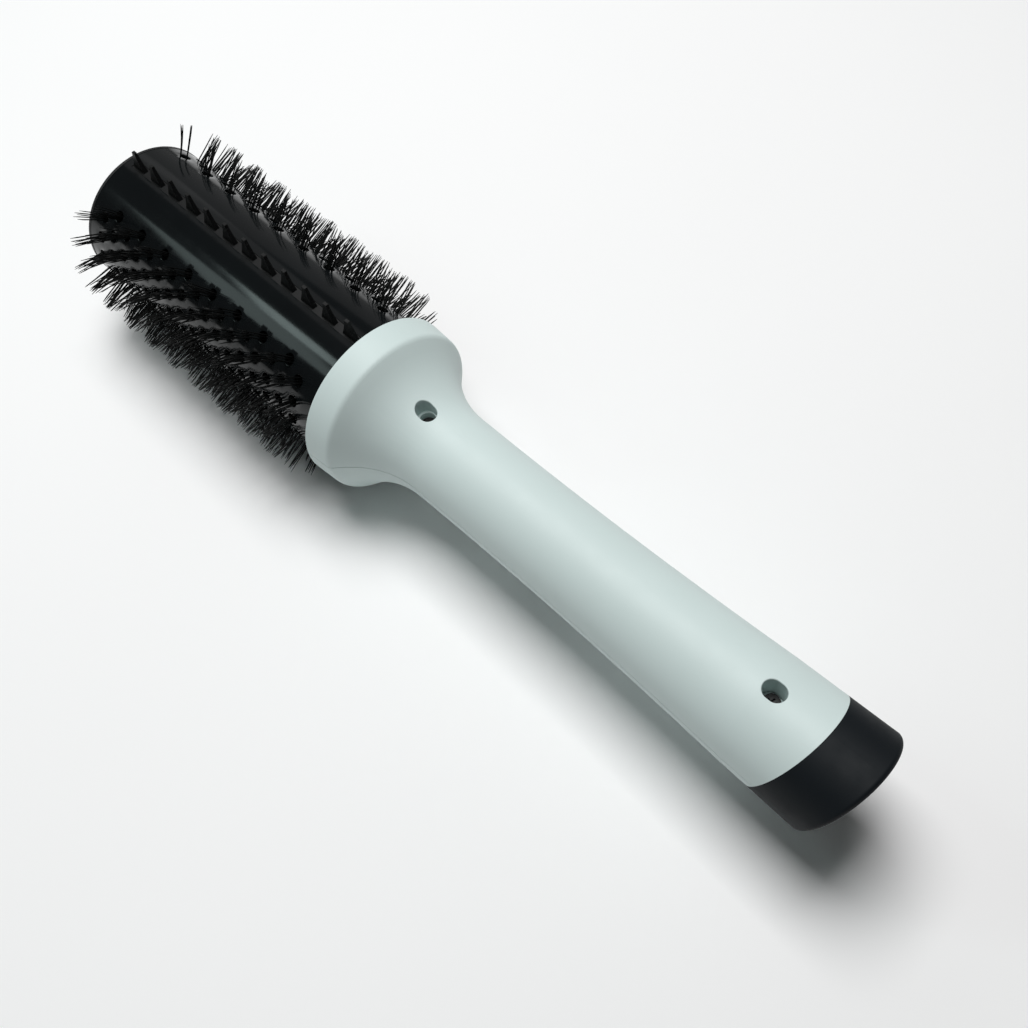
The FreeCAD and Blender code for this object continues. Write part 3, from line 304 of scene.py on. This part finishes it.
def barrel_piece():
    """The barrel's closed sheet with its chamfered tuft holes and its two comb slots.

    The outer skin is meshed flat, unrolled, and rolled up vertex by vertex."""
    arc_mm = TAU * BARREL_R
    per_degree = arc_mm / 360.0
    inner_r = BARREL_R - BARREL_WALL
    rim_r = HOLE_R + RIM_CHAMFER
    flat = []
    edges = []

    def loop(outline):
        """Add a closed outline to the unrolled sheet."""
        start = len(flat)
        flat.extend(Vector(p) for p in outline)
        edges.extend((start + i, start + (i + 1) % len(outline)) for i in range(len(outline)))

    def circle(x, along, radius):
        """The points of a circle on the unrolled sheet."""
        turns = [TAU * i / RIM_POINTS for i in range(RIM_POINTS)]
        return [(x + radius * math.cos(turn), along + radius * math.sin(turn)) for turn in turns]

    holes = [(x, (angle % 360.0) * per_degree) for x, angle in all_tufts()]
    for x, along in holes:
        loop(circle(x, along, rim_r))
    slot_half = COMB_WIDTH / 2 + COMB_GAP
    slot_low = COMB_LOW.x / MM - COMB_GAP
    slot_high = COMB_HIGH.x / MM + COMB_GAP
    slots = [(middle - slot_half, middle + slot_half) for middle in (0.0, arc_mm / 2, arc_mm)]
    for low, high in slots:
        xs = [slot_low + (slot_high - slot_low) * i / SLOT_STEPS for i in range(SLOT_STEPS + 1)]
        loop([(x, low) for x in xs] + [(x, high) for x in reversed(xs)])

    def opened(x, along, reach, margin):
        """Whether a point lies within reach of a hole's middle or within a margin of a slot."""
        for hole_x, hole_along in holes:
            if (x - hole_x) ** 2 + (along - hole_along) ** 2 < reach ** 2:
                return True
        for low, high in slots:
            lengthwise = slot_low - margin < x < slot_high + margin
            if lengthwise and low - margin < along < high + margin:
                return True
        return False

    for i in range(SKIN_STEPS + 1):
        x = BARREL_START + (BARREL_END - BARREL_START) * i / SKIN_STEPS
        for j in range(-SKIN_SPARE_STEPS, SKIN_TURN_STEPS + SKIN_SPARE_STEPS + 1):
            along = arc_mm * j / SKIN_TURN_STEPS
            within = -SKIN_OVERLAP <= along <= arc_mm + SKIN_OVERLAP
            if within and not opened(x, along, rim_r + HOLE_CLEAR, SLOT_CLEAR):
                flat.append(Vector((x, along)))
    made, _, triangles, _, _, _ = delaunay_2d_cdt(flat, edges, [], 0, MERGE_CLOSE)

    points = []
    index = {}

    def vertex(x, along, radius):
        """The number of the rolled sheet's vertex at a place of the unrolled one."""
        x, along = Vector((x, along))
        key = (round(x, 3), round((along % arc_mm) % arc_mm, 3), round(radius, 3))
        if key not in index:
            index[key] = len(points)
            points.append(turned(x, 0.0, radius, along / per_degree))
        return index[key]

    skin = {}
    places = {}
    for triangle in triangles:
        corners = [made[i] for i in triangle]
        centre = sum(corners, Vector((0, 0))) / 3
        beyond = not -SEAM_CLOSE <= centre.y <= arc_mm + SEAM_CLOSE
        if beyond or opened(centre.x, centre.y, rim_r * HOLE_INSIDE, 0.0):
            continue
        face = [vertex(p.x, p.y, BARREL_R) for p in corners]
        places.update(zip(face, corners))
        skin.setdefault(frozenset(face), face)
    faces = list(skin.values())

    # The chamfered walls of the holes, from the outer skin down to the inner one.
    inner_of = {}
    for x, along in holes:
        rings = [
            [(*p, radius) for p in circle(x, along, ring_r)]
            for ring_r, radius in ((rim_r, BARREL_R), (HOLE_R + RIM_ROUND, BARREL_R - RIM_ROUND),
                                   (HOLE_R, BARREL_R - RIM_CHAMFER), (HOLE_R, inner_r))
        ]
        inner_of.update((vertex(*top), vertex(*low)) for top, low in zip(rings[0], rings[-1]))
        for upper, lower in zip(rings, rings[1:]):
            for i in range(RIM_POINTS):
                j = (i + 1) % RIM_POINTS
                corners = (upper[i], upper[j], lower[j], lower[i])
                faces.append([vertex(*corner) for corner in corners])

    # The inner skin under the outer one, and the walls of the slots and of the two ends.
    rims = set(inner_of)
    for outer, place in places.items():
        if outer not in rims:
            inner_of[outer] = vertex(place.x, place.y, inner_r)
    borders = {}
    for face in skin.values():
        faces.append([inner_of[i] for i in reversed(face)])
        borders.update(dict.fromkeys(zip(face, face[1:] + face[:1])))
    for a, b in borders:
        if (b, a) not in borders and not (a in rims and b in rims):
            faces.append([b, a, inner_of[a], inner_of[b]])
    return points, faces


new_piece("barrel_sheet", "barrel_black", *barrel_piece(), "barrel_tube", BARREL_CREASE)


# ---------------------------------------------------------------- bristles

ROOT_R = 1.35
ROOT_SINK = 0.4
BRISTLE_FAN = 1.8
BRISTLE_STRAY = 0.3
BRISTLE_BEND = 1.3
BRISTLE_R = (0.21, 0.27)
BRISTLE_TAPER = 0.3
BRISTLE_POINT = 0.45
BRISTLE_STEPS = 6
BRISTLE_SIDES = 5
BRISTLES_PER_TUFT = (5, 8)
END_SPARE = 0.15
END_RAGGED = 0.7
END_SHORTEST = 3.0
WAVE_SIZE = 0.1
WAVE_TURNS = 6.5
GOLDEN_TURN = 2.4
TUFT_LEAN = 0.3
WORN_TUFT = (TUFT_FIRST + TUFT_PITCH / 2, -BLOCK_START)
WORN_SPREAD = 0.95
WORN_STRAY = 0.2
WORN_CLUMPS = ((0.93, (0.8, 4.6)), (-1.3, (1.2, 0.3)))
WORN_FILAMENTS = 8
SEEDS = {"left": 11, "right": 23}


def add_strip(points, faces, angle):
    """The flat strip that a row of tufts is stapled to."""
    start = len(points)
    section = ((-STRIP_HALF, STRIP_LOW), (STRIP_HALF, STRIP_LOW),
               (STRIP_HALF, STRIP_TOP), (-STRIP_HALF, STRIP_TOP))
    for x in (STRIP_START, STRIP_END):
        for across, height in section:
            points.append(turned(x, across, height, angle))
    quads = ((0, 3, 2, 1), (4, 5, 6, 7), (0, 1, 5, 4), (1, 2, 6, 5), (2, 3, 7, 6), (3, 0, 4, 7))
    faces.extend(tuple(start + i for i in quad) for quad in quads)


def add_bristle(points, faces, rand, x, angle, lean, spread, turn, fan_out=BRISTLE_FAN,
                stray=BRISTLE_STRAY):
    """One tapered filament, fanning out of its tuft with a slight wave and a ragged end."""
    outward = (math.cos(turn), math.sin(turn))
    fan = fan_out * spread + rand.gauss(0, stray)
    root = [ROOT_R * spread * part for part in outward]
    tip = [lean[i] + fan * outward[i] + rand.gauss(0, stray) for i in range(2)]
    reach = TUFT_REACH - END_SPARE - min(END_SHORTEST, abs(rand.gauss(0, END_RAGGED)))
    wave = rand.gauss(0, WAVE_SIZE)
    wave_turn = rand.random() * TAU
    phase = rand.random() * TAU
    thick = rand.uniform(*BRISTLE_R)
    start = len(points)
    foot = STRIP_TOP - ROOT_SINK
    for s in range(BRISTLE_STEPS + 1):
        f = s / BRISTLE_STEPS
        swing = wave * math.sin(phase + WAVE_TURNS * f) * f
        along = x + root[0] + (tip[0] - root[0]) * f ** BRISTLE_BEND + swing * math.cos(wave_turn)
        across = root[1] + (tip[1] - root[1]) * f ** BRISTLE_BEND + swing * math.sin(wave_turn)
        width = thick * (1 - BRISTLE_TAPER * f) * (1.0 if s < BRISTLE_STEPS else BRISTLE_POINT)
        for c in range(BRISTLE_SIDES):
            t = TAU * c / BRISTLE_SIDES
            points.append(turned(along + width * math.cos(t), across + width * math.sin(t),
                                 foot + (reach - foot) * f, angle))
    for s in range(BRISTLE_STEPS):
        for c in range(BRISTLE_SIDES):
            d = (c + 1) % BRISTLE_SIDES
            low = start + s * BRISTLE_SIDES
            faces.append((low + c, low + d, low + BRISTLE_SIDES + d, low + BRISTLE_SIDES + c))
    top = start + BRISTLE_STEPS * BRISTLE_SIDES
    faces.append(tuple(top + c for c in range(BRISTLE_SIDES)))
    faces.append(tuple(start + c for c in reversed(range(BRISTLE_SIDES))))


def bristle_block(side, seed):
    """One side's strips with every nylon filament of their tufts."""
    rand = random.Random(seed)
    points = []
    faces = []
    for index, angle in enumerate(row_angles(side)):
        add_strip(points, faces, angle)
        for x in row_places(index, side):
            if (x, angle) == WORN_TUFT:
                for i in range(WORN_FILAMENTS):
                    turn, lean = WORN_CLUMPS[i % len(WORN_CLUMPS)]
                    add_bristle(points, faces, rand, x, angle, lean, WORN_SPREAD, turn,
                                0.0, WORN_STRAY)
                continue
            lean = (rand.gauss(0, TUFT_LEAN), rand.gauss(0, TUFT_LEAN))
            count = rand.randint(*BRISTLES_PER_TUFT)
            first_turn = rand.random() * TAU
            for i in range(count):
                spread = math.sqrt((i + 0.5) / count)
                turn = first_turn + i * GOLDEN_TURN
                add_bristle(points, faces, rand, x, angle, lean, spread, turn)
    return points, faces


for side_name, side in SIDES.items():
    new_piece("bristles_" + side_name, "bristle_nylon", *bristle_block(side, SEEDS[side_name]),
              "bristle_strips_" + side_name)


# ---------------------------------------------------------------- CAD nodes shown as they are

NODE_CREASE = 32.0
SHOWN = {
    "tip_plastic": ["tip_cap"],
    "comb_plastic": ["comb_strip_back", "comb_strip_front"],
    "carrier_plastic": ["bristle_carrier"],
    "socket_plastic": ["barrel_socket"],
    "mica": ["mica_frame", "mica_sleeve"],
    "heater_wire": ["heater_coil"],
    "plated_steel": ["thermostat", "thermal_fuse", "gland_circlip"],
    "handle_white": ["shell_back", "shell_front"],
    "screw_steel": ["shell_screws"],
    "cap_black": ["tail_cap"],
    "screen_steel": ["inlet_screen"],
    "gland_black": ["cord_gland"],
    "inner_plastic": ["motor_holder", "motor_end_cap"],
    "motor_steel": ["motor_can", "motor_rotor", "motor_shaft"],
    "magnet": ["motor_magnets"],
    "fan_plastic": ["impeller"],
    "board_green": ["rectifier_board", "control_board"],
    "part_black": ["diodes", "terminal_block", "switch_body", "cool_switch", "cool_switch_plunger"],
    "knob_black": ["slide_knob"],
    "button_grey": ["cool_button"],
    "lead_red": ["motor_leads"],
    "lead_white": ["heater_leads"],
}


def dress_nodes():
    """Put each CAD node's own finish on it and shade it smooth up to its real edges."""
    for slot_name, names in SHOWN.items():
        for name in names:
            node = NODES[name]
            for polygon in node.data.polygons:
                polygon.use_smooth = True
            node.data.set_sharp_from_angle(angle=math.radians(NODE_CREASE))
            finished(node, slot_name)


dress_nodes()


# ---------------------------------------------------------------- camera, light and floor

CAMERA_PLACE = (-22.86, 113.45, 290.23)
CAMERA_RIGHT = (-0.70429, -0.70673, -0.06713)
CAMERA_DOWN = (-0.57882, 0.62641, -0.52209)
CAMERA_LENS = 41.12
CAMERA_SENSOR = 36.0
CAMERA_NEAR = 0.01
WORLD_COLOUR = (0.98, 1.0, 1.0, 1.0)
WORLD_STRENGTH = 0.05
FLOOR_HALF = 3.0
FLOOR_MIDDLE = 0.15
FLOOR_COLOURS = ((0.96, 0.96, 0.96), (0.945, 0.945, 0.945))
FLOOR_CLOUDS = 3.0
FLOOR_ROUGHNESS = 0.9
FLOOR_SPECULAR = 0.1
WHITE = (1.0, 1.0, 1.0)
COOL_WHITE = (0.81, 1.0, 0.98)
HANDLE_MIDDLE = (0.12, 0.0, 0.0)
BARREL_MIDDLE = (0.235, 0.010, 0.022)
# Name, place, aim, the two sides of the rectangle, power in watts, colour.
LAMPS = (
    ("key", (0.384, -0.15, 1.155), HANDLE_MIDDLE, 0.7, 0.7, 14.3, WHITE),
    ("streak_bright", (0.745, 0.290, 0.672), BARREL_MIDDLE, 0.13, 0.14, 0.30, COOL_WHITE),
    ("streak_soft", (0.790, 0.450, 0.560), BARREL_MIDDLE, 0.22, 0.24, 0.335, COOL_WHITE),
    ("side_high", (0.835, -0.290, 0.620), BARREL_MIDDLE, 0.42, 0.45, 0.17, WHITE),
    ("side_low", (0.828, -0.600, 0.240), BARREL_MIDDLE, 0.65, 0.45, 0.19, WHITE),
)


def add_camera(scene):
    """The camera at the photograph's viewing angle."""
    camera_data = bpy.data.cameras.new("camera")
    camera = bpy.data.objects.new("camera", camera_data)
    scene.collection.objects.link(camera)
    scene.camera = camera
    camera_data.lens = CAMERA_LENS
    camera_data.sensor_width = CAMERA_SENSOR
    camera_data.clip_start = CAMERA_NEAR
    right = Vector(CAMERA_RIGHT)
    down = Vector(CAMERA_DOWN)
    ahead = right.cross(down)
    axes = Matrix((right, -down, -ahead)).transposed()
    camera.matrix_world = Matrix.Translation(Vector(CAMERA_PLACE) * MM) @ axes.to_4x4()


def add_world(scene):
    """A dim, faintly cool world behind the lamps."""
    world = bpy.data.worlds.new("world")
    scene.world = world
    world.use_nodes = True
    background = world.node_tree.nodes["Background"]
    background.inputs["Color"].default_value = WORLD_COLOUR
    background.inputs["Strength"].default_value = WORLD_STRENGTH


def add_floor(scene):
    """The pale floor that the brush lies on."""
    mesh = bpy.data.meshes.new("floor")
    corners = [(-FLOOR_HALF, -FLOOR_HALF, 0), (FLOOR_HALF, -FLOOR_HALF, 0),
               (FLOOR_HALF, FLOOR_HALF, 0), (-FLOOR_HALF, FLOOR_HALF, 0)]
    mesh.from_pydata(corners, [], [(0, 1, 2, 3)])
    floor = bpy.data.objects.new("floor", mesh)
    scene.collection.objects.link(floor)
    floor.location = (FLOOR_MIDDLE, 0, cad_low.z)
    material, tree, shader, place = shader_tree("floor_white")
    clouds = ranged(tree, noise(tree, place, FLOOR_CLOUDS), 0, 1)
    tree.links.new(mixed(tree, clouds, *FLOOR_COLOURS), shader.inputs["Base Color"])
    shader.inputs["Roughness"].default_value = FLOOR_ROUGHNESS
    shader.inputs["Specular IOR Level"].default_value = FLOOR_SPECULAR
    mesh.materials.append(material)


def add_lamp(scene, name, place, target, width, height, power, colour):
    """A soft rectangular light aimed at a point, its width as near as it can be to Y."""
    light = bpy.data.lights.new(name, "AREA")
    light.shape = "RECTANGLE"
    light.size = width
    light.size_y = height
    light.energy = power
    light.color = colour
    lamp = bpy.data.objects.new(name, light)
    scene.collection.objects.link(lamp)
    lamp.location = place
    back = (lamp.location - Vector(target)).normalized()
    along = Vector((0, 1, 0))
    side = (along - back * along.dot(back)).normalized()
    up = back.cross(side)
    lamp.rotation_mode = "QUATERNION"
    lamp.rotation_quaternion = Matrix((side, up, back)).transposed().to_quaternion()


def studio():
    """The camera, soft white light and a pale floor."""
    scene = bpy.context.scene
    scene.view_settings.view_transform = "Standard"
    add_camera(scene)
    add_world(scene)
    add_floor(scene)
    for lamp in LAMPS:
        add_lamp(scene, *lamp)


studio()
